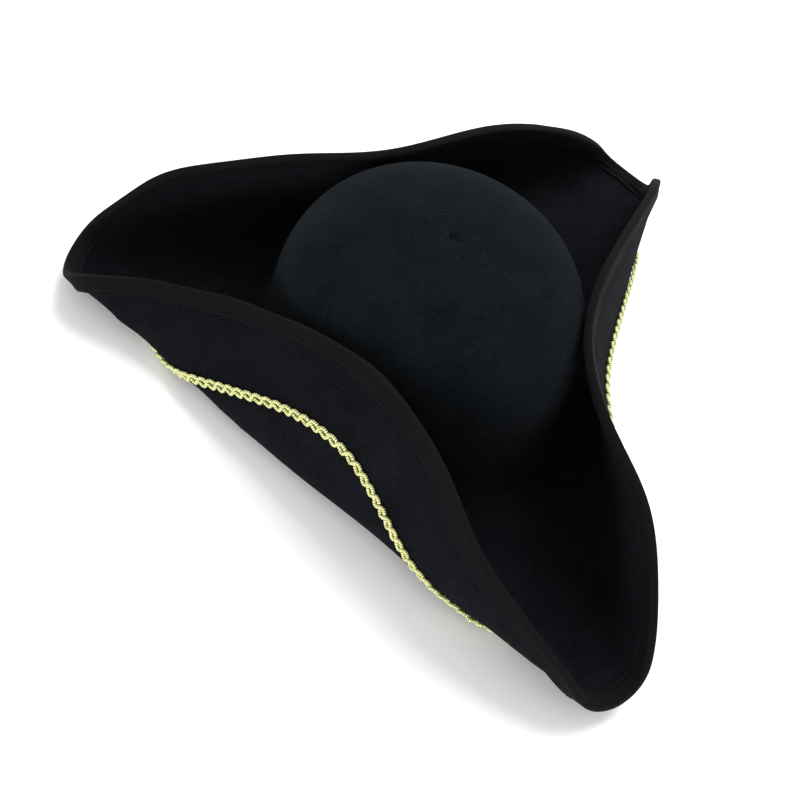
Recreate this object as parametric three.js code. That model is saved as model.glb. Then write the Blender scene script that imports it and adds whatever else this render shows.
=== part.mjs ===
// A black felt tricorn: a round blocked crown, and a brim turned up on three sides whose
// edge is bound in tape and whose outer faces carry a sewn-on gold braid.
// Millimetres, +Z up. The origin is the middle of the head opening, in the plane that the
// brim rests on. The front corner points along -Y, and the back flap faces +Y.
import * as THREE from "three";
import { mergeVertices } from "three/addons/utils/BufferGeometryUtils.js";

// ---- driving dimensions ------------------------------------------------------------

// Clearance between pieces that are sewn face to face.
const SEWN_GAP = 0.3;
// Clearance of what lies loosely against the faceted inside of the sweatband.
const LOOSE_GAP = 0.6;
const FELT = 3;

// Crown: the outside of its wall where it meets the brim, and its full height.
const CROWN_HALF_WIDTH = 94;
const CROWN_HALF_LENGTH = 96;
const CROWN_HEIGHT = 109;
// Roundness of the crown: 1 and 1 would make it half an ellipsoid, less makes it fuller.
const CROWN_FULLNESS = 0.82;
const CROWN_STEEPNESS = 0.51;
// The foot of the crown turns out over the brim and ends short of the bend.
const FOOT_SHORT_OF_BEND = 1;
const FOOT_RISE = 14;
const FOOT_EDGE = 1.2;

// Brim: the flat ring that the hat rests on, then the bend, then the flaps.
const REST_RING = 10;
const FOLD_BEYOND_CROWN = 36.5;
const FOLD_SHORT_OF_TIP = 12;
const FOLD_CORNER_RISE = 5;
const FOLD_SQUARENESS = 14;
// How tight the bend is, from 0 to 1, on the ring's side and on the flap's side.
const BEND_AT_RING = 0.8;
const BEND_AT_FLAP = 0.12;

// Corners, one for each: bearing in degrees, reach beyond the crown and height of the tip.
const CORNERS = [
  { bearing: 270, turn: 4, reach: 145, height: 12 },
  { bearing: 30, turn: -4, reach: 132, height: 12 },
  { bearing: 150, turn: 0, reach: 120, height: 12 },
];
// The rounded lip of a corner: half its width, how far back it starts, and its rise.
const LIP_HALF_WIDTH = 24;
const LIP_BACK = 16;
const LIP_RISE = 18;
// Flaps, each between one corner and the next: its middle's turn in degrees, gap to the
// crown and height, the shoulders where it falls away to each corner, and how far its bend
// swells out before the second corner.
const FLAPS = [
  {
    leaving: { turn: 17, reach: 83, height: 65 },
    middle: { turn: -20, gap: 6, height: 84 },
    arriving: { turn: 16, reach: 82, height: 69 },
    swell: 0,
  },
  {
    leaving: { turn: 16, reach: 60, height: 63 },
    middle: { turn: 1, gap: 4, height: 81 },
    arriving: { turn: 13, reach: 69, height: 66 },
    swell: 0,
  },
  {
    leaving: { turn: 12, reach: 42, height: 47 },
    middle: { turn: 18, gap: 21, height: 94 },
    arriving: { turn: 12, reach: 81, height: 57 },
    swell: 7,
  },
];

// Binding tape folded over the brim's edge, with its thread near the tape's lower edge.
const TAPE = 0.8;
// Clearance of the tape and its threads, which follow the tight turns of the edge.
const TAPE_GAP = FELT / 6;
const TAPE_DEPTH = 9.5;
const TAPE_THREAD_INSET = 1.6;
const TAPE_OVERLAP = { corner: 1, start: 0.1, end: 0.17 };

// Gold braid, sewn round the outer faces below the edge.
const BRAID_WIDTH = 5;
const BRAID_THICKNESS = 1.8;
const BRAID_BELOW_EDGE = 49;

// Threads are round, and this is their radius.
const THREAD = 0.35;

// Inside of the crown.
const LINING = 0.6;
const LINING_GAP = 0.6;
const LINING_LOW = 20;
const TIP_SEAM_RISE = 0.92;
const BAND = 1;
const BAND_LOW = 1;
const BAND_HIGH = 34;
const BAND_GAP = 1;
const BAND_END_GAP_DEG = 1.2;
const BAND_THREAD_INSET = 3;
const END_TAPE_DEG = 9;
const LABEL = 0.5;
const SIZE_LABEL = { bearing: 76, width: 14, height: 10 };
const CARE_LABEL = { bearing: 118, width: 26, height: 24 };
const CARE_LABEL_GAP = 1.8;
const TACK_RADIUS = 1.6;

// Fineness of the mesh.
const STEPS_PER_FLAP = 28;
const CORNER_CROWDING = 0.55;
const CROWN_SIDES = 48;
const CROWN_RINGS = 10;
const PROFILE_SAMPLES = 60;
const BEND_STEPS = 7;

// ---- finishes ----------------------------------------------------------------------

const finish = (color, roughness, metalness = 0) =>
  new THREE.MeshStandardMaterial({ color, roughness, metalness });

const FINISHES = {
  felt: finish(0x15181b, 0.95),
  tape: finish(0x17171a, 0.8),
  thread: finish(0x3a3b40, 0.6),
  gold: finish(0xc9b45e, 0.35, 0.8),
  lining: finish(0x0d0d10, 0.4),
  band: finish(0x101013, 0.7),
  label: finish(0xd8d8d4, 0.8),
};

// ---- mesh helpers ------------------------------------------------------------------

const radians = THREE.MathUtils.degToRad;

// A closed surface through rows of points, each a cross-section that runs anticlockwise.
// The last row joins the first when around is true, and otherwise both get a flat end.
// slant says, for a row and a place in it, which diagonal splits the four-sided face.
function skin(rows, around, slant = () => true) {
  const across = rows[0].length;
  const index = [];
  const joins = around ? rows.length : rows.length - 1;
  for (let i = 0; i < joins; i += 1) {
    for (let j = 0; j < across; j += 1) {
      const a = i * across + j;
      const b = i * across + ((j + 1) % across);
      const c = ((i + 1) % rows.length) * across + j;
      const d = ((i + 1) % rows.length) * across + ((j + 1) % across);
      if (slant(i, j)) index.push(a, d, b, a, c, d);
      else index.push(a, c, b, b, c, d);
    }
  }
  if (!around) {
    const last = (rows.length - 1) * across;
    for (let j = 1; j < across - 1; j += 1) {
      index.push(0, j, j + 1);
      index.push(last, last + j + 1, last + j);
    }
  }
  const geometry = new THREE.BufferGeometry().setFromPoints(rows.flat());
  geometry.setIndex(index);
  return mergeVertices(geometry, 1e-4);
}

function piece(name, geometry, material) {
  const mesh = new THREE.Mesh(geometry, material);
  mesh.name = name;
  return mesh;
}

// ---- the crown's form --------------------------------------------------------------

// Radius of the head oval at a bearing, with its wall moved in by inset.
function ovalRadius(bearing, inset = 0) {
  const x = Math.cos(bearing) / (CROWN_HALF_WIDTH - inset);
  const y = Math.sin(bearing) / (CROWN_HALF_LENGTH - inset);
  return 1 / Math.hypot(x, y);
}

// A point of the crown's form: lift runs from 0 at the brim to 1 at the top.
function crownPoint(bearing, lift, inset) {
  const angle = (lift * Math.PI) / 2;
  const share = Math.max(Math.cos(angle), 0) ** CROWN_FULLNESS;
  const reach = ovalRadius(bearing, inset) * share;
  const height = (CROWN_HEIGHT - inset) * Math.sin(angle) ** CROWN_STEEPNESS;
  return new THREE.Vector3(
    lift >= 1 ? 0 : reach * Math.cos(bearing),
    lift >= 1 ? 0 : reach * Math.sin(bearing),
    height,
  );
}

// The lift at which the crown's form has a given height.
function liftAt(height, inset) {
  const share = THREE.MathUtils.clamp(height / (CROWN_HEIGHT - inset), 0, 1);
  return (Math.asin(share ** (1 / CROWN_STEEPNESS)) * 2) / Math.PI;
}

// How far out the crown's form is at a bearing and a height.
function crownReach(bearing, height, inset = 0) {
  const p = crownPoint(bearing, liftAt(height, inset), inset);
  return Math.hypot(p.x, p.y);
}

function polar(bearing, reach, height) {
  return new THREE.Vector3(
    reach * Math.cos(bearing),
    reach * Math.sin(bearing),
    height,
  );
}

// ---- the brim's form ---------------------------------------------------------------

const MID_PLANE = FELT / 2;
const BRIM_TOP = FELT + SEWN_GAP;
const FOOT_REACH = REST_RING - FOOT_SHORT_OF_BEND;

// A point of a corner's rounded lip: angle is 0 at the tip, and 90 or -90 degrees where
// the lip has turned up into the flap on either side.
function lipPoint(corner, angle) {
  const bearing = radians(corner.bearing + corner.turn);
  const back = 1 - Math.cos(radians(angle));
  const reach = ovalRadius(bearing) + corner.reach - LIP_BACK * back;
  const point = polar(bearing, reach, corner.height + LIP_RISE * back);
  const sideways = new THREE.Vector3(-Math.sin(bearing), Math.cos(bearing), 0);
  return point.addScaledVector(sideways, LIP_HALF_WIDTH * Math.sin(radians(angle)));
}

function shoulder(bearing, { reach, height }) {
  return polar(bearing, ovalRadius(bearing) + reach, height);
}

function flapMiddle(bearing, { gap, height }) {
  const clear = gap + FELT + TAPE;
  return polar(bearing, crownReach(bearing, height) + clear, height);
}

// The middle of the felt's edge, once round the hat, starting at the front corner.
function edgeCurve() {
  const points = [];
  CORNERS.forEach((corner, k) => {
    const next = CORNERS[(k + 1) % CORNERS.length];
    const { middle, leaving, arriving } = FLAPS[k];
    points.push(...[0, 45, 90].map((angle) => lipPoint(corner, angle)));
    points.push(shoulder(radians(corner.bearing + leaving.turn), leaving));
    points.push(flapMiddle(radians(corner.bearing + 60 + middle.turn), middle));
    points.push(shoulder(radians(next.bearing - arriving.turn), arriving));
    points.push(...[-90, -45].map((angle) => lipPoint(next, angle)));
  });
  return new THREE.CatmullRomCurve3(points, true, "centripetal");
}

// Stations round the hat, crowded towards the corners: each has a bearing for the ring and
// the bend, and the point of the edge at the same share of the way from corner to corner.
function edgeStations() {
  const curve = edgeCurve();
  const stations = [];
  const fine = 120;
  CORNERS.forEach((corner, k) => {
    const next = CORNERS[(k + 1) % CORNERS.length];
    const first = corner.bearing + corner.turn;
    const span = 120 + next.turn - corner.turn;
    const trace = [];
    for (let i = 0; i <= fine; i += 1) {
      trace.push(curve.getPoint(((k + i / fine) / CORNERS.length) % 1));
    }
    const run = [0];
    for (let i = 1; i <= fine; i += 1) {
      run.push(run[i - 1] + trace[i].distanceTo(trace[i - 1]));
    }
    for (let i = 0; i < STEPS_PER_FLAP; i += 1) {
      const even = i / STEPS_PER_FLAP;
      const wave = Math.sin(2 * Math.PI * even) / (2 * Math.PI);
      const share = even - CORNER_CROWDING * wave;
      const want = share * run[fine];
      let j = 1;
      while (run[j] < want) j += 1;
      const part = (want - run[j - 1]) / (run[j] - run[j - 1]);
      stations.push({
        corner: k,
        share,
        bearing: radians(first + span * share),
        edge: new THREE.Vector3().lerpVectors(trace[j - 1], trace[j], part),
      });
    }
  });
  return stations;
}

// Distance of the bend from the middle of the hat at the corner with a given number.
function foldCorner(k) {
  const tip = lipPoint(CORNERS[k % CORNERS.length], 0);
  return Math.hypot(tip.x, tip.y) - FOLD_SHORT_OF_TIP;
}

// Distance of the bend from the middle of the hat: straight sides and rounded corners.
function foldReach({ corner, share }) {
  const late = Math.max(2 * share - 1, 0) ** 2.5;
  const swell = FLAPS[corner].swell * Math.sin(Math.PI * late) ** 2;
  const across = CROWN_HALF_LENGTH + FOLD_BEYOND_CROWN + swell;
  const side = across / Math.cos(radians(120 * share - 60));
  const ease = THREE.MathUtils.smoothstep(share, 0, 1);
  const round = THREE.MathUtils.lerp(foldCorner(corner), foldCorner(corner + 1), ease);
  const power = -FOLD_SQUARENESS;
  return (side ** power + round ** power) ** (1 / power);
}

// The middle of the felt from the edge of a flap down to the ring's outer side, as a
// finely sampled line with its distance from the edge.
function flapLine(station) {
  const { bearing, share, edge } = station;
  const ring = ovalRadius(bearing) + REST_RING;
  const start = polar(bearing, ring, MID_PLANE);
  const rise = FOLD_CORNER_RISE * (2 * share - 1) ** 2;
  const bend = polar(bearing, foldReach(station), MID_PLANE + rise);
  const low = start.clone().lerp(bend, BEND_AT_RING);
  const high = bend.clone().lerp(edge, BEND_AT_FLAP);
  const curve = new THREE.CubicBezierCurve3(edge, high, low, start);
  const points = curve.getPoints(PROFILE_SAMPLES);
  const run = [0];
  for (let i = 1; i < points.length; i += 1) {
    run.push(run[i - 1] + points[i].distanceTo(points[i - 1]));
  }
  return { points, run, length: run[run.length - 1] };
}

const STATIONS = edgeStations();
const LINES = STATIONS.map(flapLine);

// The middle of the felt at a station and a distance below its edge. Above the edge, and
// past the bend on the flat ring, the line goes straight on.
function feltMiddle(station, below) {
  const { points, run, length } = LINES[station];
  if (below <= 0) {
    const up = points[0].clone().sub(points[1]).normalize();
    return points[0].clone().addScaledVector(up, -below);
  }
  if (below >= length) {
    const inward = polar(STATIONS[station].bearing, length - below, 0);
    return points[points.length - 1].clone().add(inward);
  }
  let j = 1;
  while (run[j] < below) j += 1;
  const part = (below - run[j - 1]) / (run[j] - run[j - 1]);
  return points[j - 1].clone().lerp(points[j], part);
}

// A point off the middle of the felt: out is positive on the underside and outer faces.
function feltPoint(station, below, out) {
  const count = STATIONS.length;
  const here = feltMiddle(station, below);
  const before = feltMiddle((station + count - 1) % count, below);
  const after = feltMiddle((station + 1) % count, below);
  const down = feltMiddle(station, below + 0.5).sub(
    feltMiddle(station, below - 0.5),
  );
  const normal = down.cross(after.sub(before)).normalize();
  return here.addScaledVector(normal, out);
}

// A band that follows the brim once round. section gives a station's cross-section as
// pairs of distance below the edge and distance off the middle of the felt, anticlockwise.
// All bands split their faces the same way, so that one lies evenly on another.
function roundTheBrim(section) {
  const sections = STATIONS.map((_, i) => section(i));
  const rows = sections.map((pairs, i) =>
    pairs.map(([below, out]) => feltPoint(i, below, out)),
  );
  const slant = (i, j) => {
    const pairs = sections[i];
    return pairs[j][0] < pairs[(j + 1) % pairs.length][0];
  };
  return skin(rows, true, slant);
}

// ---- felt pieces -------------------------------------------------------------------

const BRAID_TOP = BRAID_BELOW_EDGE - BRAID_WIDTH / 2;
const BRAID_FOOT = BRAID_BELOW_EDGE + BRAID_WIDTH / 2;

// Distances below the edge at which the brim's mesh has a row, the same for all stations
// down to the braid and shared out over the bend after that.
function brimLevels(station) {
  const levels = [0, TAPE_DEPTH, (TAPE_DEPTH + BRAID_TOP) / 2, BRAID_TOP, BRAID_FOOT];
  const { length } = LINES[station];
  for (let i = 1; i <= BEND_STEPS; i += 1) {
    levels.push(BRAID_FOOT + ((length - BRAID_FOOT) * i) / BEND_STEPS);
  }
  levels.push(length + REST_RING + FELT);
  return levels;
}

function brim() {
  const geometry = roundTheBrim((station) => {
    const levels = brimLevels(station);
    const outer = levels.map((below) => [below, FELT / 2]);
    const inner = levels.map((below) => [below, -FELT / 2]);
    return [...inner, ...outer.reverse()];
  });
  return piece("brim", geometry, FINISHES.felt);
}

// Rows from the wall's foot up to the pole, on the crown's form with an inset, for one
// bearing. The rows crowd towards the shoulder.
function crownRun(bearing, inset, fromHeight, toLift, rings) {
  const low = liftAt(fromHeight, inset);
  const run = [];
  for (let i = 0; i <= rings; i += 1) {
    const lift = low + ((toLift - low) * i) / rings;
    run.push(crownPoint(bearing, lift, inset));
  }
  return run;
}

// The turned-out foot, from its thin edge up to the wall, as a hollow quarter round.
function footRun(bearing) {
  const run = [];
  const steps = 4;
  for (let i = 0; i < steps; i += 1) {
    const angle = ((i / steps) * Math.PI) / 2;
    const reach = ovalRadius(bearing) + FOOT_REACH * (1 - Math.sin(angle));
    const rise = (FOOT_RISE - FOOT_EDGE) * (1 - Math.cos(angle));
    run.push(polar(bearing, reach, BRIM_TOP + FOOT_EDGE + rise));
  }
  return run;
}

function bearings(count) {
  return Array.from({ length: count }, (_, i) => (2 * Math.PI * i) / count);
}

function crown() {
  const rows = bearings(CROWN_SIDES).map((bearing) => {
    const sole = [
      polar(bearing, ovalRadius(bearing, FELT), BRIM_TOP),
      polar(bearing, ovalRadius(bearing) + FOOT_REACH, BRIM_TOP),
    ];
    const outside = crownRun(bearing, 0, BRIM_TOP + FOOT_RISE, 1, CROWN_RINGS);
    const inside = crownRun(bearing, FELT, BRIM_TOP + FELT, 1, CROWN_RINGS);
    return [...sole, ...footRun(bearing), ...outside, ...inside.reverse()];
  });
  return piece("crown", skin(rows, true), FINISHES.felt);
}

// ---- edge binding ------------------------------------------------------------------

const TAPE_INSIDE = FELT / 2 + TAPE_GAP;
const TAPE_SEAM = TAPE_DEPTH - TAPE_THREAD_INSET;

// The end of the tape is turned under and laid over its start, so it is twice as thick.
function tapeThickness(station) {
  const { corner, share } = STATIONS[station];
  const { start, end } = TAPE_OVERLAP;
  const doubled = corner === TAPE_OVERLAP.corner && share > start && share < end;
  return doubled ? 2 * TAPE : TAPE;
}

function edgeBinding() {
  const geometry = roundTheBrim((station) => {
    const outside = TAPE_INSIDE + tapeThickness(station);
    const crest = outside - TAPE_INSIDE;
    return [
      [-TAPE_GAP, outside],
      [-TAPE_GAP - crest, outside / 2],
      [-TAPE_GAP - crest, -outside / 2],
      [-TAPE_GAP, -outside],
      [TAPE_SEAM, -outside],
      [TAPE_DEPTH, -outside],
      [TAPE_DEPTH, -TAPE_INSIDE],
      [0, -TAPE_INSIDE],
      [-TAPE_GAP, -TAPE_INSIDE],
      [-TAPE_GAP, TAPE_INSIDE],
      [0, TAPE_INSIDE],
      [TAPE_DEPTH, TAPE_INSIDE],
      [TAPE_DEPTH, outside],
      [TAPE_SEAM, outside],
    ];
  });
  return piece("edge_binding", geometry, FINISHES.tape);
}

// A thread that lies on the brim, or on what is sewn to it.
function brimThread(name, below, height, material) {
  const geometry = roundTheBrim((station) => {
    const middle = height(station);
    const out = Math.sign(middle) * (TAPE_GAP + THREAD);
    return [
      [below - THREAD, middle + out],
      [below, middle + out - THREAD],
      [below + THREAD, middle + out],
      [below, middle + out + THREAD],
    ];
  });
  return piece(name, geometry, material);
}

function bindingThreads() {
  const face = (station) => TAPE_INSIDE + tapeThickness(station);
  return [
    brimThread("binding_stitch_outer", TAPE_SEAM, face, FINISHES.thread),
    brimThread("binding_stitch_inner", TAPE_SEAM, (s) => -face(s), FINISHES.thread),
  ];
}

// ---- gold braid --------------------------------------------------------------------

const BRAID_INSIDE = FELT / 2 + SEWN_GAP;

function goldBraid() {
  const face = BRAID_INSIDE + BRAID_THICKNESS;
  const shoulderOut = BRAID_INSIDE + BRAID_THICKNESS / 2;
  const geometry = roundTheBrim(() => [
    [BRAID_TOP, shoulderOut],
    [BRAID_TOP, BRAID_INSIDE],
    [BRAID_FOOT, BRAID_INSIDE],
    [BRAID_FOOT, shoulderOut],
    [BRAID_BELOW_EDGE, face],
  ]);
  return piece("gold_braid", geometry, FINISHES.gold);
}

function braidStitch() {
  const face = () => BRAID_INSIDE + BRAID_THICKNESS;
  return brimThread("braid_stitch", BRAID_BELOW_EDGE, face, FINISHES.gold);
}

// ---- inside of the crown -----------------------------------------------------------

// How far out the sweatband's form is: straight from its lower to its upper edge.
function bandReach(bearing, height, inset) {
  const low = crownReach(bearing, BAND_LOW, inset);
  const high = crownReach(bearing, BAND_HIGH, inset);
  const share = (height - BAND_LOW) / (BAND_HIGH - BAND_LOW);
  return THREE.MathUtils.lerp(low, high, share);
}

// A band inside the crown between two bearings and two heights: face is how far its outer
// face is set in from the crown's outside. With no bearings it closes on itself.
function innerBand({ face, thickness, low, high, from, to, steps }, reach = bandReach) {
  const closed = from === undefined;
  const list = closed
    ? bearings(CROWN_SIDES)
    : Array.from({ length: steps + 1 }, (_, i) => from + ((to - from) * i) / steps);
  const rows = list.map((bearing) => {
    const at = (inset, height) => polar(bearing, reach(bearing, height, inset), height);
    return [
      at(face, low),
      at(face, high),
      at(face + thickness, high),
      at(face + thickness, low),
    ];
  });
  return skin(rows, closed);
}

const LINING_FACE = FELT + LINING_GAP;
const BAND_FACE = LINING_FACE + LINING + BAND_GAP;
const BAND_INSIDE = BAND_FACE + BAND;
const BACK = radians(90);

function liningSide() {
  const inset = LINING_FACE + LINING;
  const rows = bearings(CROWN_SIDES).map((bearing) => {
    const outside = crownRun(bearing, LINING_FACE, LINING_LOW, liningSeam(), 6);
    const inside = crownRun(bearing, inset, LINING_LOW, liningSeam(), 6);
    return [...outside, ...inside.reverse()];
  });
  return piece("lining_side", skin(rows, true), FINISHES.lining);
}

// The lift of the seam between the side and the tip of the lining.
function liningSeam() {
  return liftAt(TIP_SEAM_RISE * CROWN_HEIGHT, LINING_FACE);
}

function liningTip() {
  const start = liningSeam() + (2 * SEWN_GAP) / CROWN_HEIGHT;
  const startHeight = (inset) => crownPoint(0, start, inset).z;
  const inner = LINING_FACE + LINING;
  const rows = bearings(CROWN_SIDES).map((bearing) => {
    const outside = crownRun(bearing, LINING_FACE, startHeight(LINING_FACE), 1, 3);
    const inside = crownRun(bearing, inner, startHeight(inner), 1, 3);
    return [...outside, ...inside.reverse()];
  });
  return piece("lining_tip", skin(rows, true), FINISHES.lining);
}

function sweatband() {
  const half = radians(BAND_END_GAP_DEG / 2);
  const geometry = innerBand({
    face: BAND_FACE,
    thickness: BAND,
    low: BAND_LOW,
    high: BAND_HIGH,
    from: BACK + half,
    to: BACK + 2 * Math.PI - half,
    steps: CROWN_SIDES,
  });
  return piece("sweatband", geometry, FINISHES.band);
}

function sweatbandEndTape() {
  const half = radians(END_TAPE_DEG / 2);
  const low = BAND_LOW + BAND_THREAD_INSET + THREAD + SEWN_GAP;
  const geometry = innerBand({
    face: BAND_INSIDE + LOOSE_GAP,
    thickness: TAPE,
    low,
    high: BAND_HIGH,
    from: BACK - half,
    to: BACK + half,
    steps: 3,
  });
  return piece("sweatband_end_tape", geometry, FINISHES.tape);
}

function sweatbandStitch() {
  const middle = BAND_LOW + BAND_THREAD_INSET - THREAD;
  const geometry = innerBand({
    face: BAND_INSIDE + LOOSE_GAP,
    thickness: 2 * THREAD,
    low: middle - THREAD,
    high: middle + THREAD,
  });
  return piece("sweatband_stitch", geometry, FINISHES.thread);
}

// Thread that holds the foot of the crown down on the brim.
function headlineStitch() {
  const foot = FOOT_REACH * 0.6;
  const rows = bearings(CROWN_SIDES).map((bearing) => {
    const reach = ovalRadius(bearing) + foot;
    const sine = 1 - foot / FOOT_REACH;
    const rise = (FOOT_RISE - FOOT_EDGE) * (1 - Math.sqrt(1 - sine * sine));
    const height = BRIM_TOP + FOOT_EDGE + rise + 2 * SEWN_GAP + THREAD;
    return [
      polar(bearing, reach - THREAD, height),
      polar(bearing, reach, height - THREAD),
      polar(bearing, reach + THREAD, height),
      polar(bearing, reach, height + THREAD),
    ];
  });
  return piece("headline_stitch", skin(rows, true), FINISHES.thread);
}

// A woven label that hangs on the inner face of the sweatband or of the lining.
function label(name, { bearing, width, height }, face, low, reach) {
  const half = width / 2 / ovalRadius(radians(bearing), face);
  const place = {
    face,
    thickness: LABEL,
    low,
    high: low + height,
    from: radians(bearing) - half,
    to: radians(bearing) + half,
    steps: 4,
  };
  return piece(name, innerBand(place, reach), FINISHES.label);
}

function labels() {
  const onBand = BAND_INSIDE + LOOSE_GAP;
  const onLining = LINING_FACE + LINING + CARE_LABEL_GAP;
  const sizeLow = BAND_HIGH - SIZE_LABEL.height - SEWN_GAP;
  return [
    label("size_label", SIZE_LABEL, onBand, sizeLow, bandReach),
    label("care_label", CARE_LABEL, onLining, BAND_HIGH + SEWN_GAP, crownReach),
  ];
}

// The knot that draws the tip of the lining up to the top of the crown.
function tipTack() {
  const geometry = new THREE.SphereGeometry(TACK_RADIUS, 12, 6);
  geometry.scale(1, 1, 0.5);
  const mesh = piece("lining_tip_tack", geometry, FINISHES.thread);
  mesh.position.z = CROWN_HEIGHT + SEWN_GAP + TACK_RADIUS;
  return mesh;
}

// ---- the hat -----------------------------------------------------------------------

const hat = new THREE.Group();
hat.add(crown(), brim());
hat.add(edgeBinding(), ...bindingThreads());
hat.add(goldBraid(), braidStitch(), headlineStitch());
hat.add(liningSide(), liningTip(), tipTack());
hat.add(sweatband(), sweatbandEndTape(), sweatbandStitch(), ...labels());

export default hat;
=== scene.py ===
# %% [markdown]
# # A black felt pirate hat
# A tricorn is a round felt crown on a wide felt brim that is turned up on three sides.
# Its edge is wrapped in woven tape, a scroll of pale gold gimp runs round the flaps, and a
# lining and a sweatband finish the inside. This lesson starts from the hat's exact frame,
# then gives each piece the fine shape and the cloth that the frame leaves out.

# %% The frame
import math
import bpy
import numpy as np
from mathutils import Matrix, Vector
from mathutils.bvhtree import BVHTree
from mathutils.kdtree import KDTree


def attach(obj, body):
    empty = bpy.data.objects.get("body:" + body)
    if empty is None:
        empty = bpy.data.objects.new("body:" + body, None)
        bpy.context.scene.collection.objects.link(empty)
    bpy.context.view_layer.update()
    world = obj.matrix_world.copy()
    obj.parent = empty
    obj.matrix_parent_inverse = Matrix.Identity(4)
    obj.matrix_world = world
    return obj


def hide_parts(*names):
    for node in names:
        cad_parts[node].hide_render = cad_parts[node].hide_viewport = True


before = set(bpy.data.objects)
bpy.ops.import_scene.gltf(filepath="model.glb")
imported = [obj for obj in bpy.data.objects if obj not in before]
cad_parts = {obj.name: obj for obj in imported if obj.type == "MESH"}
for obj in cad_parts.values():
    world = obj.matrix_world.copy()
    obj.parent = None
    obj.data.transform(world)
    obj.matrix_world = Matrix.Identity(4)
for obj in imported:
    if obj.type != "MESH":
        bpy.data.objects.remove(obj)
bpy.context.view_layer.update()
MM = 0.001

# %% [markdown]
# ## Camera
# The hat is seen from above, from beside its front corner on the wearer's right. The camera
# looks at a point inside the hat, and a turn about its own line of sight is added last.

# %% Camera
AIM = Vector((-0.0404, -0.0551, 0.0462))
AZIMUTH, ELEVATION, ROLL = math.radians(-37.98), math.radians(56.13), math.radians(19.89)
CAMERA_DISTANCE = 0.6104
LENS = 49.92

back = Vector((
    math.sin(AZIMUTH) * math.cos(ELEVATION),
    -math.cos(AZIMUTH) * math.cos(ELEVATION),
    math.sin(ELEVATION),
))
bpy.ops.object.camera_add(location=AIM + back * CAMERA_DISTANCE)
camera = bpy.context.object
camera.name = "camera"
camera.rotation_euler = (-back).to_track_quat("-Z", "Y").to_euler()
bpy.context.view_layer.update()
camera.rotation_euler.rotate_axis("Z", ROLL)
camera.data.lens = LENS
camera.data.sensor_width = 36
camera.data.clip_start = 0.01
bpy.context.scene.camera = camera
print("camera at", [round(v, 3) for v in camera.location])

# %% [markdown]
# ## Floor and light
# Black felt only shows its form by what its nap catches, so the light is large and soft:
# one wide panel high on the right of the hat, a weaker one low on the left that brushes
# the flaps' outer faces, and a pale sky that fills the rest. The floor is plain and nearly
# white, so it takes only a faint soft shadow.

# %% Floor and light
HAT_MIDDLE = Vector((0, 0, 0.04))

bpy.ops.object.select_all(action="DESELECT")
bpy.ops.mesh.primitive_plane_add(size=9, location=(0, 0, 0))
floor = bpy.context.object
floor.name = "floor"

floor_paint = bpy.data.materials.new("floor_paint")
floor_paint.use_nodes = True
paint = floor_paint.node_tree.nodes["Principled BSDF"]
paint.inputs["Base Color"].default_value = (0.86, 0.86, 0.87, 1)
paint.inputs["Roughness"].default_value = 0.75
floor.data.materials.append(floor_paint)


def soft_panel(name, place, size, power):
    """A square soft light that faces the hat."""
    bpy.ops.object.light_add(type="AREA", location=place)
    light = bpy.context.object
    light.name = name
    light.data.shape = "SQUARE"
    light.data.size = size
    light.data.energy = power
    towards_hat = HAT_MIDDLE - Vector(place)
    light.rotation_euler = towards_hat.to_track_quat("-Z", "Y").to_euler()


soft_panel("key_panel", (1.3, 0.85, 2.0), 1.6, 86)
soft_panel("low_panel", (-1.8, -1.5, 0.3), 1.2, 56)

sky = bpy.data.worlds.new("sky")
bpy.context.scene.world = sky
sky.use_nodes = True
sky.node_tree.nodes["Background"].inputs["Color"].default_value = (1, 1, 1, 1)
sky.node_tree.nodes["Background"].inputs["Strength"].default_value = 0.88
bpy.context.scene.view_settings.view_transform = "Standard"
print("lights: two soft panels and a pale sky")

# %% [markdown]
# ## Shared effects for the cloths
# Felt is a mat of fibres with no direction: fine noise for the nap, and broader noise where
# it has been brushed one way or another. Woven tape, ribbon and satin have ribs that follow
# the cloth, so their pattern, with a painted highlight on each rib's back and painted shade
# between, is read from the piece's own UV map, which is in metres. Both are node groups,
# so every cloth can use them with its own numbers.

# %% Felt nap and woven rib groups
def new_group(name, inputs, outputs):
    """An empty shader node group with named sockets and its two end nodes."""
    tree = bpy.data.node_groups.new(name, "ShaderNodeTree")
    for label, kind, value in inputs:
        socket = tree.interface.new_socket(label, in_out="INPUT", socket_type=kind)
        if value is not None:
            socket.default_value = value
    for label, kind in outputs:
        tree.interface.new_socket(label, in_out="OUTPUT", socket_type=kind)
    start = tree.nodes.new("NodeGroupInput")
    end = tree.nodes.new("NodeGroupOutput")
    return tree, start, end


def add_noise(tree, vector, scale, detail, roughness=0.6):
    """A noise texture on a vector socket, at a scale per metre."""
    noise = tree.nodes.new("ShaderNodeTexNoise")
    noise.inputs["Scale"].default_value = scale
    noise.inputs["Detail"].default_value = detail
    noise.inputs["Roughness"].default_value = roughness
    tree.links.new(vector, noise.inputs["Vector"])
    return noise.outputs["Fac"]


def add_math(tree, operation, first, second):
    """A math node; each side is a socket or a number."""
    node = tree.nodes.new("ShaderNodeMath")
    node.operation = operation
    for socket, value in zip(node.inputs, (first, second)):
        if isinstance(value, (int, float)):
            socket.default_value = value
        else:
            tree.links.new(value, socket)
    return node.outputs["Value"]


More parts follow.
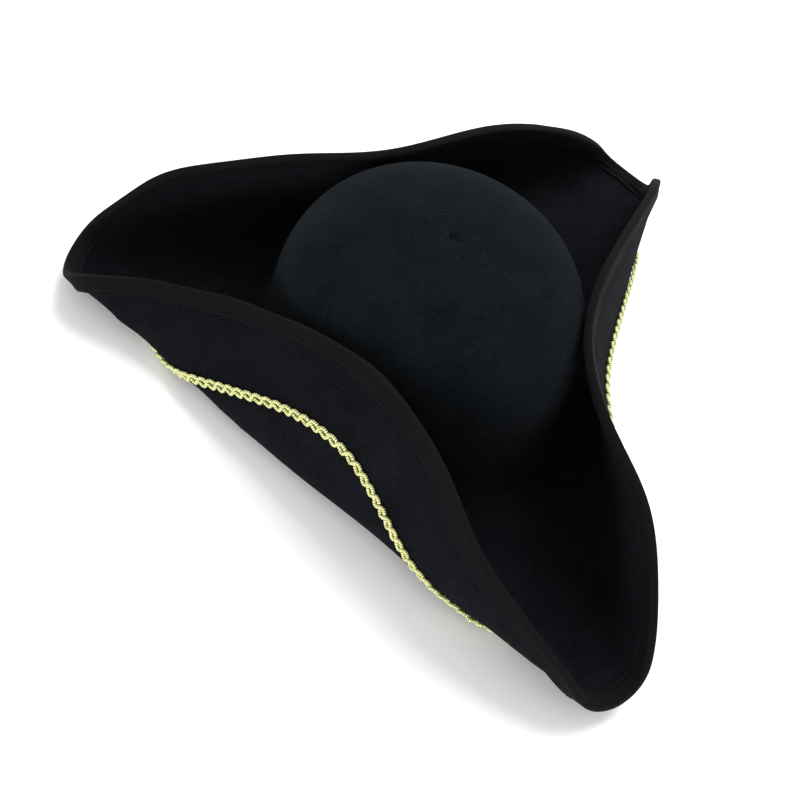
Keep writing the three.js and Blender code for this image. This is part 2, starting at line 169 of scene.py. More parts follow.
def felt_nap_group():
    """Height of the nap, and a mask of where it lies brushed."""
    tree, start, end = new_group(
        "felt_nap", [("Vector", "NodeSocketVector", None)],
        [("Height", "NodeSocketFloat"), ("Brushed", "NodeSocketFloat")],
    )
    vector = start.outputs["Vector"]
    fibre = add_noise(tree, vector, 1500, 3, 0.75)
    clump = add_noise(tree, vector, 420, 4, 0.6)
    broad = add_noise(tree, vector, 34, 5, 0.62)
    stretch = tree.nodes.new("ShaderNodeMapping")
    stretch.inputs["Scale"].default_value = (0.34, 0.8, 0.8)
    tree.links.new(vector, stretch.inputs["Vector"])
    loose = add_noise(tree, stretch.outputs["Vector"], 560, 0)
    fleck = add_math(tree, "MAXIMUM", add_math(tree, "SUBTRACT", loose, 0.72), 0.0)
    height = add_math(tree, "ADD", add_math(tree, "MULTIPLY", fibre, 0.45),
                      add_math(tree, "MULTIPLY", clump, 0.55))
    height = add_math(tree, "ADD", height, add_math(tree, "MULTIPLY", fleck, 4.0))
    mixed = add_math(tree, "ADD", add_math(tree, "MULTIPLY", broad, 0.5),
                     add_math(tree, "MULTIPLY", clump, 0.5))
    mixed = add_math(tree, "ADD", mixed, add_math(tree, "MULTIPLY", fleck, 1.6))
    tree.links.new(height, end.inputs["Height"])
    tree.links.new(mixed, end.inputs["Brushed"])
    return tree


def woven_rib_group():
    """Ribs across a tape: height, and a mask for a painted highlight on each rib's back and painted
    shade between the ribs.
    """
    tree, start, end = new_group(
        "woven_rib",
        [("Vector", "NodeSocketVector", None), ("Ribs", "NodeSocketFloat", 1500.0),
         ("Threads", "NodeSocketFloat", 2400.0)],
        [("Height", "NodeSocketFloat"), ("Back", "NodeSocketFloat")],
    )
    split = tree.nodes.new("ShaderNodeSeparateXYZ")
    tree.links.new(start.outputs["Vector"], split.inputs["Vector"])
    waves = []
    for axis, rate in (("X", "Ribs"), ("Y", "Threads")):
        turns = add_math(tree, "MULTIPLY", split.outputs[axis], start.outputs[rate])
        wave = add_math(tree, "SINE", add_math(tree, "MULTIPLY", turns, 2 * math.pi), 0.0)
        waves.append(add_math(tree, "MULTIPLY", add_math(tree, "ADD", wave, 1.0), 0.5))
    slub = add_noise(tree, start.outputs["Vector"], 700, 3)
    height = add_math(tree, "ADD", add_math(tree, "MULTIPLY", waves[0], 0.6),
                      add_math(tree, "MULTIPLY", waves[1], 0.15))
    tree.links.new(add_math(tree, "ADD", height, add_math(tree, "MULTIPLY", slub, 0.4)),
                   end.inputs["Height"])
    # The Back mask is painted light: a highlight on each rib's back, shade between the ribs.
    tree.links.new(add_math(tree, "MULTIPLY", waves[0], slub), end.inputs["Back"])
    return tree


FELT_NAP = felt_nap_group()
WOVEN_RIB = woven_rib_group()
print("groups:", FELT_NAP.name, "and", WOVEN_RIB.name)

# %% [markdown]
# ## The cloths
# Each cloth is a plain Principled surface with a colour, a sheen for its loose fibres, and
# a bump from one of the groups. Felt has almost no shine of its own, so its specular level
# is low and the sheen carries the soft bright rim that a black nap has in a wide light.

# %% The cloths
def new_cloth(name, rough, specular, sheen=0.0, sheen_rough=0.5, sheen_tint=(1, 1, 1, 1)):
    """A material with its fixed values on the shader's own sockets."""
    material = bpy.data.materials.new(name)
    material.use_nodes = True
    shader = material.node_tree.nodes["Principled BSDF"]
    shader.inputs["Roughness"].default_value = rough
    shader.inputs["Specular IOR Level"].default_value = specular
    shader.inputs["Sheen Weight"].default_value = sheen
    shader.inputs["Sheen Roughness"].default_value = sheen_rough
    shader.inputs["Sheen Tint"].default_value = sheen_tint
    return material, material.node_tree, shader


def place_group(tree, group, coordinates, values=()):
    """Puts a shared group in a material, fed by one kind of texture coordinate."""
    where = tree.nodes.new("ShaderNodeTexCoord")
    node = tree.nodes.new("ShaderNodeGroup")
    node.node_tree = group
    tree.links.new(where.outputs[coordinates], node.inputs["Vector"])
    for label, value in values:
        node.inputs[label].default_value = value
    return node


def colour_between(tree, shader, mask, dark, light, low=0.3, high=0.7):
    """Base colour that runs from dark to light as a mask goes from low to high."""
    ramp = tree.nodes.new("ShaderNodeValToRGB")
    ramp.color_ramp.elements[0].position = low
    ramp.color_ramp.elements[0].color = (*dark, 1)
    ramp.color_ramp.elements[1].position = high
    ramp.color_ramp.elements[1].color = (*light, 1)
    tree.links.new(mask, ramp.inputs["Fac"])
    tree.links.new(ramp.outputs["Color"], shader.inputs["Base Color"])


def raise_by(tree, shader, height, strength, distance):
    """A bump on the shader's normal."""
    bump = tree.nodes.new("ShaderNodeBump")
    bump.inputs["Strength"].default_value = strength
    bump.inputs["Distance"].default_value = distance
    tree.links.new(height, bump.inputs["Height"])
    tree.links.new(bump.outputs["Normal"], shader.inputs["Normal"])


def felt_cloth(name, dark, light, sheen):
    """Black napped felt."""
    material, tree, shader = new_cloth(name, 0.95, 0.03, sheen, 0.42, (0.74, 0.86, 1.0, 1))
    nap = place_group(tree, FELT_NAP, "Object")
    colour_between(tree, shader, nap.outputs["Brushed"], dark, light, 0.34, 0.66)
    raise_by(tree, shader, nap.outputs["Height"], 0.8, 0.0012)
    return material


def ribbed_cloth(name, dark, light, ribs, threads, rough, specular, sheen):
    """A woven cloth whose ribs follow its UV map; its colour is painted shade between the ribs and a
    painted highlight on their backs.
    """
    material, tree, shader = new_cloth(name, rough, specular, sheen)
    weave = place_group(tree, WOVEN_RIB, "UV", (("Ribs", ribs), ("Threads", threads)))
    colour_between(tree, shader, weave.outputs["Back"], dark, light, 0.1, 0.5)
    raise_by(tree, shader, weave.outputs["Height"], 0.6, 0.0002)
    return material


crown_felt = felt_cloth("crown_felt", (0.0018, 0.0026, 0.0034), (0.0052, 0.0066, 0.0080), 0.022)
brim_felt = felt_cloth("brim_felt", (0.0020, 0.0023, 0.0032), (0.0058, 0.0064, 0.0078), 0.014)
# In each ribbed cloth, the first colour is painted shade between the ribs and the second is a
# painted highlight on the rib backs.
edge_tape = ribbed_cloth("edge_tape", (0.0012, 0.0012, 0.0018), (0.0052, 0.0052, 0.0070),
                         1600, 2200, 0.8, 0.05, 0.01)
band_ribbon = ribbed_cloth("band_ribbon", (0.006, 0.006, 0.007), (0.02, 0.02, 0.023),
                           900, 2600, 0.7, 0.3, 0.05)
satin = ribbed_cloth("satin", (0.010, 0.010, 0.012), (0.026, 0.026, 0.030),
                     3200, 5200, 0.38, 0.5, 0.05)
label_cloth = ribbed_cloth("label_cloth", (0.50, 0.49, 0.46), (0.80, 0.79, 0.75),
                           2400, 3600, 0.55, 0.4, 0.1)
thread_black = ribbed_cloth("thread_black", (0.0020, 0.0022, 0.0028), (0.009, 0.010, 0.012),
                            2500, 1500, 0.7, 0.12, 0.01)
print("cloths:", len(bpy.data.materials), "materials")

# %% [markdown]
# ## Gold gimp
# Gimp is a cotton core wrapped with a bright foil thread. The wraps run round the strand at a
# slant, with a painted highlight on their backs and painted deep olive shade between, and the
# foil is only partly metallic, since the yarn shows through.

# %% Gold gimp
def gimp_foil():
    """Pale gold wrapped thread: stripes that slant round the strand, with a painted highlight on
    each wrap and painted shade between.
    """
    material, tree, shader = new_cloth("gimp_foil", 0.42, 0.5)
    shader.inputs["Metallic"].default_value = 0.2
    weave = place_group(tree, WOVEN_RIB, "UV", (("Ribs", 950.0), ("Threads", 0.0)))
    # The dark olive is painted shade between the wraps, and the pale gold is a painted highlight on
    # their backs.
    colour_between(tree, shader, weave.outputs["Back"], (0.14, 0.15, 0.03), (0.93, 0.95, 0.44),
                   0.06, 0.42)
    raise_by(tree, shader, weave.outputs["Height"], 0.8, 0.0003)
    return material


gimp_gold = gimp_foil()
print("gimp:", gimp_gold.name)

# %% [markdown]
# ## Starting a piece from the frame
# The frame's meshes are loose triangles. A piece that keeps its outline starts as a copy:
# its doubles are merged, its triangles are paired into quads, sharp folds are creased, and
# a Subdivision Surface makes it smooth. Everything stays at the frame's own place.

# %% Copy, merge, crease and subdivide
def deselect():
    if bpy.context.object and bpy.context.object.mode != "OBJECT":
        bpy.ops.object.mode_set(mode="OBJECT")
    bpy.ops.object.select_all(action="DESELECT")


def make_active(piece):
    deselect()
    piece.select_set(True)
    bpy.context.view_layer.objects.active = piece


def start_from(node, name):
    """A merged copy of a CAD node, in quads."""
    piece = bpy.data.objects.new(name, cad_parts[node].data.copy())
    bpy.context.scene.collection.objects.link(piece)
    piece.data.materials.clear()
    make_active(piece)
    bpy.ops.object.mode_set(mode="EDIT")
    bpy.ops.mesh.select_all(action="SELECT")
    bpy.ops.mesh.remove_doubles(threshold=1e-6)
    bpy.ops.mesh.tris_convert_to_quads(face_threshold=math.pi, shape_threshold=math.pi)
    bpy.ops.object.mode_set(mode="OBJECT")
    return piece


def crease_folds(piece, degrees, crease):
    """Creases the edges where two faces meet more sharply than an angle."""
    make_active(piece)
    bpy.ops.object.mode_set(mode="EDIT")
    bpy.ops.mesh.select_mode(type="EDGE")
    bpy.ops.mesh.select_all(action="DESELECT")
    bpy.ops.mesh.edges_select_sharp(sharpness=math.radians(degrees))
    bpy.ops.transform.edge_crease(value=crease)
    bpy.ops.mesh.select_all(action="DESELECT")
    bpy.ops.object.mode_set(mode="OBJECT")


def subdivide(piece, levels):
    """Applies a Subdivision Surface."""
    make_active(piece)
    modifier = piece.modifiers.new("smooth_form", "SUBSURF")
    modifier.levels = levels
    modifier.render_levels = levels
    bpy.ops.object.modifier_apply(modifier=modifier.name)


def relax(piece, factor, times):
    """Applies a Smooth modifier, which evens out ripples."""
    make_active(piece)
    modifier = piece.modifiers.new("even_out", "SMOOTH")
    modifier.factor = factor
    modifier.iterations = times
    bpy.ops.object.modifier_apply(modifier=modifier.name)


def points_of(piece):
    """The piece's vertices as an array, in metres."""
    flat = np.zeros(len(piece.data.vertices) * 3)
    piece.data.vertices.foreach_get("co", flat)
    return flat.reshape(-1, 3)


def normals_of(piece):
    """The outward direction at each vertex."""
    flat = np.zeros(len(piece.data.vertices) * 3)
    piece.data.vertices.foreach_get("normal", flat)
    return flat.reshape(-1, 3)


def move_points(piece, points):
    """Puts the piece's vertices where an array says."""
    piece.data.vertices.foreach_set("co", points.ravel())
    piece.data.update()


def finish_piece(piece, material, slot, *replaced):
    """Material, smooth shading, the root body, and the frame parts it replaces hidden."""
    piece.data.materials.append(material)
    make_active(piece)
    bpy.ops.object.shade_smooth()
    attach(piece, "root")
    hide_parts(*replaced)
    print(f"{piece.name}: {len(piece.data.vertices)} vertices")


# %% [markdown]
# ## Lines that go once round the hat
# The frame's stitch lines are thin closed cords. The middle of each cord gives the line
# that its stitches follow, and the same line tells the tape and the braid how far round
# the hat they are. A smooth closed curve through the middles is then cut to even steps.

# %% Lines round the hat
def cord_line(node, around=4):
    """The middle line of a thin closed cord, in order round the hat."""
    cord = start_from(node, "line")
    points = points_of(cord)
    bpy.data.objects.remove(cord)
    order = np.argsort(np.arctan2(points[:, 1], points[:, 0]))
    return points[order].reshape(-1, around, 3).mean(axis=1)


def even_line(points, step):
    """A closed Catmull-Rom curve through the points, cut to near-equal steps."""
    before, after = np.roll(points, 1, axis=0), np.roll(points, -1, axis=0)
    beyond = np.roll(points, -2, axis=0)
    fine = []
    for t in np.linspace(0, 1, 24, endpoint=False):
        fine.append(0.5 * (2 * points + (after - before) * t
                           + (2 * before - 5 * points + 4 * after - beyond) * t ** 2
                           + (3 * points - before - 3 * after + beyond) * t ** 3))
    dense = np.stack(fine, axis=1).reshape(-1, 3)
    closed = np.vstack([dense, dense[:1]])
    run = np.concatenate([[0], np.cumsum(np.linalg.norm(np.diff(closed, axis=0), axis=1))])
    count = int(round(run[-1] / step))
    wanted = np.arange(count) * run[-1] / count
    line = np.stack([np.interp(wanted, run, closed[:, k]) for k in range(3)], axis=1)
    return line, run[-1]


def unit(vectors):
    return vectors / np.linalg.norm(vectors, axis=1)[:, None]


def frames_on(line, surface):
    """Along, across and outward directions of a line that lies on a surface."""
    along = unit(np.roll(line, -1, axis=0) - np.roll(line, 1, axis=0))
    out = []
    for point in line:
        near = surface.find_nearest(Vector(point))
        out.append(np.array(near[1]))
    out = np.array(out)
    for _ in range(6):
        out = unit(out + np.roll(out, 1, axis=0) + np.roll(out, -1, axis=0))
    out = unit(out - (out * along).sum(axis=1)[:, None] * along)
    across = np.cross(out, along)
    return along, across, out


def surface_of(piece):
    return BVHTree.FromPolygons(
        [v.co for v in piece.data.vertices], [p.vertices[:] for p in piece.data.polygons]
    )


def seat(line, surface, lift=0.0):
    """The line moved onto a surface, then raised off it by a little."""
    seated = np.array([surface.find_nearest(Vector(p))[0] for p in line])
    for _ in range(4):
        seated = (seated * 2 + np.roll(seated, 1, axis=0) + np.roll(seated, -1, axis=0)) / 4
    along, across, out = frames_on(seated, surface)
    return seated + out * lift, along, across, out


outer_line, outer_length = even_line(cord_line("binding_stitch_outer"), 0.5 * MM)
inner_line, inner_length = even_line(cord_line("binding_stitch_inner"), 0.5 * MM)
braid_line, braid_length = even_line(cord_line("braid_stitch"), 0.5 * MM)
print(f"rim line {outer_length:.3f} m, braid line {braid_length:.3f} m")

# %% [markdown]
# ## UV maps along a line
# A rib or a wrapped thread has to follow its cloth round the corners. Each vertex is given
# how far along a line its nearest point is, and how far it is from that line, so one UV
# unit is one metre of cloth. A face that crosses the line's start is carried on past the end.

# %% UV maps along a line
INSIDE_REACH = 90 * MM


def nearest_on(line, piece):
    """For each vertex, the number of the nearest point of a line, and how far off it is."""
    tree = KDTree(len(line))
    for i, point in enumerate(line):
        tree.insert(point, i)
    tree.balance()
    found = [tree.find(v.co) for v in piece.data.vertices]
    return np.array([f[1] for f in found]), np.array([f[2] for f in found])


def write_uv(piece, run, away, whole):
    """Writes a map from a pair of values per vertex; the first one starts again at whole."""
    corners = np.zeros(len(piece.data.loops), np.int32)
    piece.data.loops.foreach_get("vertex_index", corners)
    u, v = run[corners], away[corners]
    for face in piece.data.polygons:
        part = slice(face.loop_start, face.loop_start + face.loop_total)
        if u[part].max() - u[part].min() > whole / 2:
            u[part] = np.where(u[part] < whole / 2, u[part] + whole, u[part])
    layer = piece.data.uv_layers.new(name="along_cloth")
    layer.data.foreach_set("uv", np.stack([u, v], axis=1).ravel())


def lay_uv(piece, line, length):
    """U is metres along the line, V is metres away from it."""
    index, away = nearest_on(line, piece)
    whole = round(length * 1000) / 1000
    write_uv(piece, index * (whole / len(line)), away, whole)


def lay_uv_round(piece):
    """U is metres round an upright axis, V is height, for pieces inside the crown."""
    points = points_of(piece)
    turn = np.arctan2(points[:, 1], points[:, 0]) + math.pi
    write_uv(piece, turn * INSIDE_REACH, points[:, 2], 2 * math.pi * INSIDE_REACH)


# %% [markdown]
# ## The hand of the maker
# No hat is as even as its pattern. A slow drift in space moves the brim by a millimetre or
# so. It depends only on where a point is, so the tape drifts with the felt beneath it, and
# the stitches and the braid are laid on the two cloths once they have moved.

# %% The drift
DRIFT = 0.9 * MM
DRIFT_WAVES = [  # direction of travel, waves per metre, phase, and the way it pushes
    ((1.0, 0.3, 0.5), 11, 0.4, (0.2, 0.5, 1.0)),
    ((-0.4, 1.0, 0.2), 14, 2.1, (1.0, -0.3, 0.4)),
    ((0.6, -0.8, 1.0), 19, 4.0, (-0.3, 1.0, 0.3)),
    ((0.2, 0.9, -0.7), 27, 1.3, (0.5, 0.4, -0.6)),
]


def drift(piece):
    """Moves a piece by the slow drift, which fades out at the flat ring and the floor."""
    points = points_of(piece)
    total = np.zeros_like(points)
    for travel, rate, phase, push in DRIFT_WAVES:
        travel = np.array(travel) / np.linalg.norm(travel)
        wave = np.sin(2 * math.pi * rate * points @ travel + phase)
        total += wave[:, None] * np.array(push) / np.linalg.norm(push)
    lifted = np.clip((points[:, 2] - 6 * MM) / (30 * MM), 0, 1)
    move_points(piece, points + total * DRIFT / 2 * lifted[:, None] ** 1.5)


print(f"drift: {len(DRIFT_WAVES)} waves, about {DRIFT * 1000:.1f} mm in all")

# %% [markdown]
# ## The brim
# Three millimetres of stiff wool felt, flat round the head opening and turned up into three
# flaps that lean in towards the crown. The copy of the frame's brim already has the form,
# so it only needs finer faces and its ripples evened out.

# %% The brim
brim = start_from("brim", "felt_brim")
crease_folds(brim, 50, 0.75)
subdivide(brim, 2)
relax(brim, 0.5, 5)
drift(brim)
brim_surface = surface_of(brim)
finish_piece(brim, brim_felt, "felt", "brim")

# %% [markdown]
# ## The crown
# The crown was steamed over a round block. Its foot runs out into the brim, so the foot's
# thin edge is let down until it is flush and the two felts read as one. At the very top a
# tack pulls the felt down into a small pucker, with a pinch of felt standing up beside it.
# The faces there are cut finer first, so that they can hold so small a shape.

# %% The crown
CROWN_OVAL = 94 / 96
FOOT_START, FOOT_END, FOOT_TOP = 95 * MM, 104 * MM, 20 * MM
FOOT_DROP = 1.25 * MM
OUTER_TOP = 107.4 * MM
DOME_REACH, FINE_REACH = 16 * MM, 11 * MM
PUCKER_DEPTH, PUCKER_REACH = 2.4 * MM, 2.3 * MM
RAY_HEIGHT, RAY_REACH = 0.35 * MM, 7 * MM
PINCH_HEIGHT, PINCH_PLACE = 1.3 * MM, 3.4 * MM
PINCH_HALF_WIDTH, PINCH_HALF_LENGTH = 0.9 * MM, 2.0 * MM


def crown_reach(points):
    """How far points are from the crown's middle, as if its oval were round."""
    return np.hypot(points[:, 0], points[:, 1] * CROWN_OVAL)


def cut_top_finer(piece):
    """Cuts the faces round the crown's middle finer, and lays them on the same dome."""
    points = points_of(piece)
    reach = crown_reach(points)
    near = (points[:, 2] > OUTER_TOP) & (reach < DOME_REACH)
    dome = np.polyfit(reach[near] ** 2, points[near, 2], 2)
    make_active(piece)
    bpy.ops.object.mode_set(mode="EDIT")
    bpy.ops.mesh.select_all(action="DESELECT")
    bpy.ops.object.mode_set(mode="OBJECT")
    piece.data.vertices.foreach_set("select", near & (reach < FINE_REACH))
    bpy.ops.object.mode_set(mode="EDIT")
    bpy.ops.mesh.select_mode(type="VERT")
    bpy.ops.mesh.subdivide(number_cuts=7)
    bpy.ops.object.mode_set(mode="OBJECT")
    points = points_of(piece)
    reach = crown_reach(points)
    near = (points[:, 2] > OUTER_TOP) & (reach < FINE_REACH)
    points[near, 2] = np.polyval(dome, reach[near] ** 2)
    move_points(piece, points)
    print(f"{piece.name}: {near.sum()} points near the middle of the top")


crown = start_from("crown", "felt_crown")
crease_folds(crown, 60, 0.6)
subdivide(crown, 2)
cut_top_finer(crown)
points = points_of(crown)
reach = crown_reach(points)
top = points[:, 2] > OUTER_TOP
low = points[:, 2] < FOOT_TOP
foot = np.clip((reach - FOOT_START) / (FOOT_END - FOOT_START), 0, 1) * low
points[:, 2] -= FOOT_DROP * foot ** 1.4
turn = np.arctan2(points[:, 1], points[:, 0])
dimple = np.exp(-(reach / PUCKER_REACH) ** 2)
rays = np.cos(5 * turn + 0.6) * (reach / (5 * MM)) * np.exp(-(reach / RAY_REACH) ** 2)
pinch = np.exp(-(points[:, 0] / PINCH_HALF_WIDTH) ** 2
               - ((points[:, 1] - PINCH_PLACE) / PINCH_HALF_LENGTH) ** 2)
points[:, 2] += top * (RAY_HEIGHT * rays - PUCKER_DEPTH * dimple + PINCH_HEIGHT * pinch)
move_points(crown, points)
finish_piece(crown, crown_felt, "felt", "crown")

# %% [markdown]
# ## The edge tape
# A ribbed tape is folded over the edge and sewn through. Where the machine pulls the tape
# into the felt it leaves a shallow groove with a dimple at every stitch, and the cloth
# puffs up in a low ridge on each side of it. Both are real shape here. The ribs come from
# the cloth's own UV map.

# %% The edge tape
STITCH_PITCH = 3.4 * MM
GROOVE_DEPTH, GROOVE_WIDTH = 0.7 * MM, 0.8 * MM
RIDGE_HEIGHT, RIDGE_AWAY, RIDGE_WIDTH = 0.5 * MM, 1.9 * MM, 0.6 * MM


def press_groove(piece, line, length):
    """Pushes the piece in along a sewn line, with a ridge on each side."""
    index, away = nearest_on(line, piece)
    run = index * length / len(line)
    count = round(length / STITCH_PITCH)
    beat = 0.65 + 0.35 * np.cos(2 * math.pi * run * count / length)
    depth = GROOVE_DEPTH * beat * np.exp(-(away / GROOVE_WIDTH) ** 2)
    puff = 0.7 + 0.3 * np.sin(run * 210 + 1.3 * np.sin(run * 57))
    depth -= RIDGE_HEIGHT * puff * np.exp(-((away - RIDGE_AWAY) / RIDGE_WIDTH) ** 2)
    move_points(piece, points_of(piece) - normals_of(piece) * depth[:, None])


tape = start_from("edge_binding", "edge_tape")
crease_folds(tape, 60, 0.35)
subdivide(tape, 3)
press_groove(tape, outer_line, outer_length)
press_groove(tape, inner_line, inner_length)
lay_uv(tape, outer_line, outer_length)
drift(tape)
tape_surface = surface_of(tape)
finish_piece(tape, edge_tape, "tape", "edge_binding")

# %% [markdown]
# ## Stitches
# One stitch is a short soft thread that rises from the cloth and dips back in at both ends.
# It is modelled once, from a small sphere drawn out and bent, and then set down again and
# again along a sewn line, each time turned to lie on the cloth.

# %% One stitch
def one_stitch(length, thick):
    """The points and faces of a single stitch that lies along X, with Z off the cloth."""
    deselect()
    bpy.ops.mesh.primitive_uv_sphere_add(segments=8, ring_count=7, radius=1)
    stitch = bpy.context.object
    bpy.ops.transform.rotate(value=math.pi / 2, orient_axis="Y", center_override=(0, 0, 0))
    bpy.ops.object.transform_apply(location=False, rotation=True, scale=False)
    bpy.ops.transform.resize(value=(length / 2, thick / 2, thick / 2))
    bpy.ops.object.transform_apply(location=False, rotation=False, scale=True)
    points = points_of(stitch)
    points[:, 2] -= thick * 0.9 * (2 * np.abs(points[:, 0]) / length) ** 3
    faces = [list(f.vertices) for f in stitch.data.polygons]
    bpy.data.objects.remove(stitch)
    return points, faces


def sew(name, line, length, surface, pitch, stitch_length, thick, lift=0.0):
    """A row of stitches laid along a line on a surface, as one piece."""
    count = int(round(length / pitch))
    picks = (np.arange(count) * len(line) / count).astype(int)
    seated, along, across, out = seat(line, surface, lift)
    shape, faces = one_stitch(stitch_length, thick)
    all_points, all_faces = [], []
    for n, i in enumerate(picks):
        lean = 0.10 * math.sin(n * 2.399)
        ahead = along[i] + lean * across[i]
        side = across[i] - lean * along[i]
        all_points.append(seated[i] + shape @ np.stack([ahead, side, out[i]]))
        all_faces += [[v + n * len(shape) for v in f] for f in faces]
    mesh = bpy.data.meshes.new(name)
    mesh.from_pydata(np.vstack(all_points).tolist(), [], all_faces)
    piece = bpy.data.objects.new(name, mesh)
    bpy.context.scene.collection.objects.link(piece)
    lay_uv(piece, line, length)
    print(f"{name}: {count} stitches")
    return piece


# %% [markdown]
# ## Sewing the tape
# The same machine row shows on both faces of the tape. The thread is a shade lighter than
# the cloth, which is why the row reads as a faint broken line.

# %% Sewing the tape
for face, line, length in (("outer", outer_line, outer_length), ("inner", inner_line, inner_length)):
    row = sew(f"tape_stitches_{face}", line, length, tape_surface, STITCH_PITCH,
              2.7 * MM, 0.60 * MM, lift=0.16 * MM)
    finish_piece(row, thread_black, "thread", f"binding_stitch_{face}")

# %% [markdown]
# ## The gold scroll
# The braid is two strands of gimp twisted flat. Each strand swings from side to side of the
# braid's line and passes over and under its partner, and the whole scroll leans, so every
# loop is a long slanted link. A strand is a closed curve with a round bevel.

# %% The gold scroll
LOOP_PITCH = 6.6 * MM
STRAND_THICK = 2.1 * MM
SWING = 1.95 * MM
LEAN = 0.75
OVER = 0.5 * MM
BRAID_LIFT = 1.4 * MM
STITCH_LIFT = BRAID_LIFT + 0.95 * MM
WRAP_SLANT = 1 / 1900


def braid_strand(name, half):
    """One strand; the other is half a turn behind it."""
    loops = round(braid_length / LOOP_PITCH)
    loops += loops % 2
    samples = loops * 7
    turns = np.arange(samples) / samples
    phase = math.pi * loops * turns + half * math.pi
    at = (turns * len(braid_line)).astype(int) % len(braid_line)
    swing = SWING * np.sin(phase)
    lift = OVER * np.cos(phase)
    points = (braid_seat[at] + across_b[at] * swing[:, None]
              - along_b[at] * (LEAN * swing)[:, None] + out_b[at] * lift[:, None])
    deselect()
    bpy.ops.curve.primitive_bezier_circle_add(radius=0.1)
    curve = bpy.context.object
    curve.name = name
    curve.data.splines.clear()
    spline = curve.data.splines.new("POLY")
    spline.points.add(samples - 1)
    spline.points.foreach_set("co", np.hstack([points, np.ones((samples, 1))]).ravel())
    spline.use_cyclic_u = True
    curve.data.dimensions = "3D"
    curve.data.bevel_depth = STRAND_THICK / 2
    curve.data.bevel_resolution = 2
    bpy.ops.object.convert(target="MESH")
    strand = bpy.context.object
    bpy.ops.object.mode_set(mode="EDIT")
    bpy.ops.mesh.select_all(action="SELECT")
    bpy.ops.mesh.remove_doubles(threshold=1e-6)
    bpy.ops.mesh.normals_make_consistent(inside=False)
    bpy.ops.object.mode_set(mode="OBJECT")
    strand.data.materials.clear()
    run = np.linalg.norm(points - np.roll(points, 1, axis=0), axis=1).sum()
    stretch_uv(strand, run)
    return strand


def stretch_uv(strand, length):
    """Rescales a converted curve's UV map to metres along the strand, with a slant."""
    layer = strand.data.uv_layers[0]
    uv = np.zeros(len(strand.data.loops) * 2)
    layer.data.foreach_get("uv", uv)
    uv = uv.reshape(-1, 2)
    u = uv[:, 0] * round(length * 1000) / 1000 + uv[:, 1] * WRAP_SLANT
    layer.data.foreach_set("uv", np.stack([u, uv[:, 1]], axis=1).ravel())


braid_seat, along_b, across_b, out_b = seat(braid_line, brim_surface, BRAID_LIFT)
strands = [braid_strand("gold_scroll_a", 0), braid_strand("gold_scroll_b", 1)]
for strand in strands:
    finish_piece(strand, gimp_gold, "gold", "gold_braid")

braid_row = sew("braid_stitches", braid_line, braid_length, brim_surface, LOOP_PITCH,
                1.6 * MM, 0.5 * MM, lift=STITCH_LIFT)
finish_piece(braid_row, thread_black, "thread", "braid_stitch")

# %% [markdown]
# ## The seam at the crown's foot
# Small hidden stitches hold the crown to the brim. They are pulled down into the nap, so
# they only show as a row of pricks up close.

# %% The seam at the crown's foot
crown_surface = surface_of(crown)
foot_line, foot_length = even_line(cord_line("headline_stitch"), 0.5 * MM)
foot_row = sew("foot_stitches", foot_line, foot_length, crown_surface, 7 * MM, 2.2 * MM, 0.5 * MM,
               lift=-0.1 * MM)
finish_piece(foot_row, thread_black, "thread", "headline_stitch")

# %% [markdown]
# ## Inside the crown
# The lining is a side strip eased into a round tip, and its fullness falls in soft upright
# pleats. The sweatband is a ribbed ribbon that covers the lower edge, closed at the back
# under a short tape, and sewn along its foot.

# %% Inside the crown
def pleat(piece, count, depth, low, high):
    """Moves a wall in and out round the crown, most at the top of the strip."""
    points = points_of(piece)
    turn = np.arctan2(points[:, 1], points[:, 0])
    rise = np.clip((points[:, 2] - low) / (high - low), 0, 1)
    fold = np.cos(count * turn) + 0.5 * np.cos((count * 2 + 3) * turn + 0.7)
    wave = depth * (0.35 + 0.65 * rise) * (fold - 1.5) / 2
    flat = np.hypot(points[:, 0], points[:, 1])
    points[:, :2] *= (1 + wave / np.maximum(flat, 1e-4))[:, None]
    move_points(piece, points)


side = start_from("lining_side", "lining_side_satin")
crease_folds(side, 60, 0.6)
subdivide(side, 2)
pleat(side, 31, 1.1 * MM, 20 * MM, 98 * MM)
lay_uv_round(side)
finish_piece(side, satin, "lining", "lining_side")

tip = start_from("lining_tip", "lining_tip_satin")
crease_folds(tip, 60, 0.6)
subdivide(tip, 2)
pleat(tip, 9, 0.5 * MM, 98 * MM, 105 * MM)
tip.data.uv_layers.new(name="along_cloth")
flat_uv = points_of(tip)[[loop.vertex_index for loop in tip.data.loops]][:, :2]
tip.data.uv_layers[0].data.foreach_set("uv", flat_uv.ravel())
finish_piece(tip, satin, "lining", "lining_tip")

band = start_from("sweatband", "sweatband_ribbon")
crease_folds(band, 50, 0.85)
subdivide(band, 2)
lay_uv_round(band)
finish_piece(band, band_ribbon, "band", "sweatband")

end_tape = start_from("sweatband_end_tape", "sweatband_end_ribbon")
crease_folds(end_tape, 50, 0.85)
subdivide(end_tape, 2)
lay_uv_round(end_tape)
finish_piece(end_tape, band_ribbon, "band", "sweatband_end_tape")

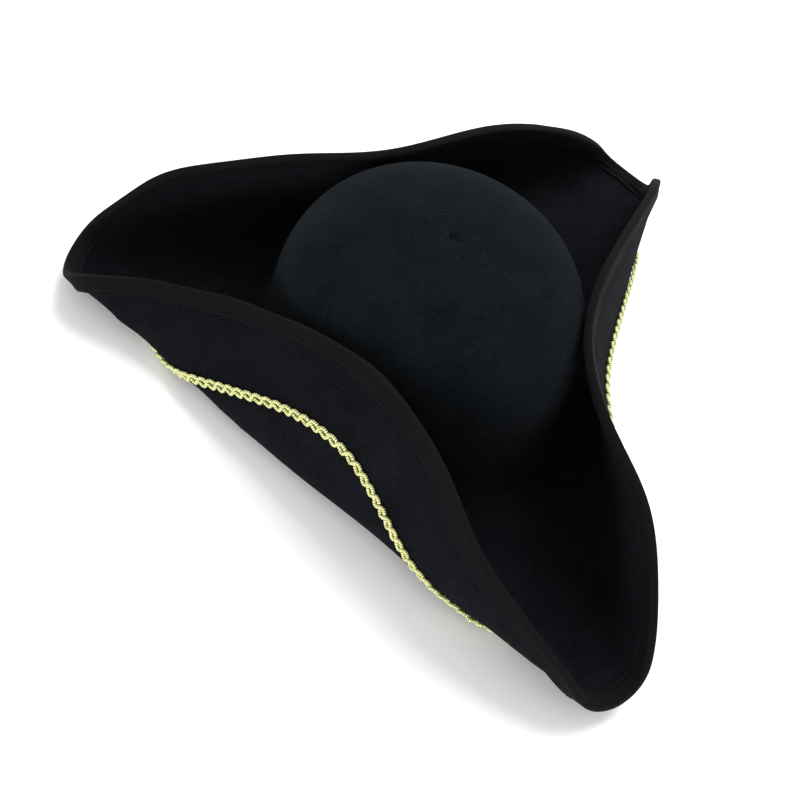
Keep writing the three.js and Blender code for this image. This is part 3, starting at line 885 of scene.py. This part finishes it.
band_surface = surface_of(band)
band_line, band_run = even_line(cord_line("sweatband_stitch"), 0.5 * MM)
band_row = sew("sweatband_stitches", band_line, band_run, band_surface, 3.6 * MM, 2.8 * MM,
               0.6 * MM, lift=0.1 * MM)
finish_piece(band_row, thread_black, "thread", "sweatband_stitch")

# %% [markdown]
# ## Labels and the top tack
# Two small woven labels hang inside, left plain. The tack is a few turns of thread that
# hold the lining's middle to the crown, seen from outside as a tiny knot in the pucker.

# %% Labels and the top tack
TACK_SINK, TACK_SLIM = PUCKER_DEPTH + 1.7 * MM, 0.7

labels = []
for name in ("size_label", "care_label"):
    label = start_from(name, f"{name}_cloth")
    crease_folds(label, 50, 0.8)
    subdivide(label, 3)
    lay_uv_round(label)
    finish_piece(label, label_cloth, "label", name)
    labels.append(label)

tack = start_from("lining_tip_tack", "top_tack_knot")
subdivide(tack, 2)
lay_uv_round(tack)
points = points_of(tack)
points[:, 2] -= TACK_SINK
points[:, :2] *= TACK_SLIM
move_points(tack, points)
finish_piece(tack, thread_black, "thread", "lining_tip_tack")

# %% [markdown]
# ## Cut sizes
# Every piece of cloth was cut flat before it was shaped and sewn. The tape, the lining's
# side, the sweatband and the labels are strips. The lining's tip is a round. The felts are
# rounds too, and steam shapes them over a block: the brim's round has the head's oval cut
# out of it. Areas are of the cut cloth, in square metres.

# %% Cut sizes
CUTS = (
    (brim, (0.470, 0.470), "stretched", ("crown",), 0.128),
    (crown, (0.330, 0.330), "stretched", ("brim",), 0.085),
    (tape, (1.37, 0.0235), "folded", ("brim",), None),
    (side, (0.570, 0.092), "gathered", ("crown",), None),
    (tip, (0.100, 0.100), "gathered", ("lining_side",), 0.0078),
    (band, (0.565, 0.033), "folded", ("crown",), None),
    (end_tape, (0.030, 0.014), "folded", ("sweatband",), None),
    (labels[0], (0.014, 0.010), "hung", ("sweatband",), None),
    (labels[1], (0.026, 0.024), "hung", ("lining_side",), None),
)
for piece, flat, held, holders, area in CUTS:
    cloth = sum(face.area for face in piece.data.polygons) / 2
    print(f"{piece.name}: cloth {cloth:.4f} m2, cut {area or flat[0] * flat[1]:.4f} m2")

# %% [markdown]
# ## End

# %% End
print("hat built")
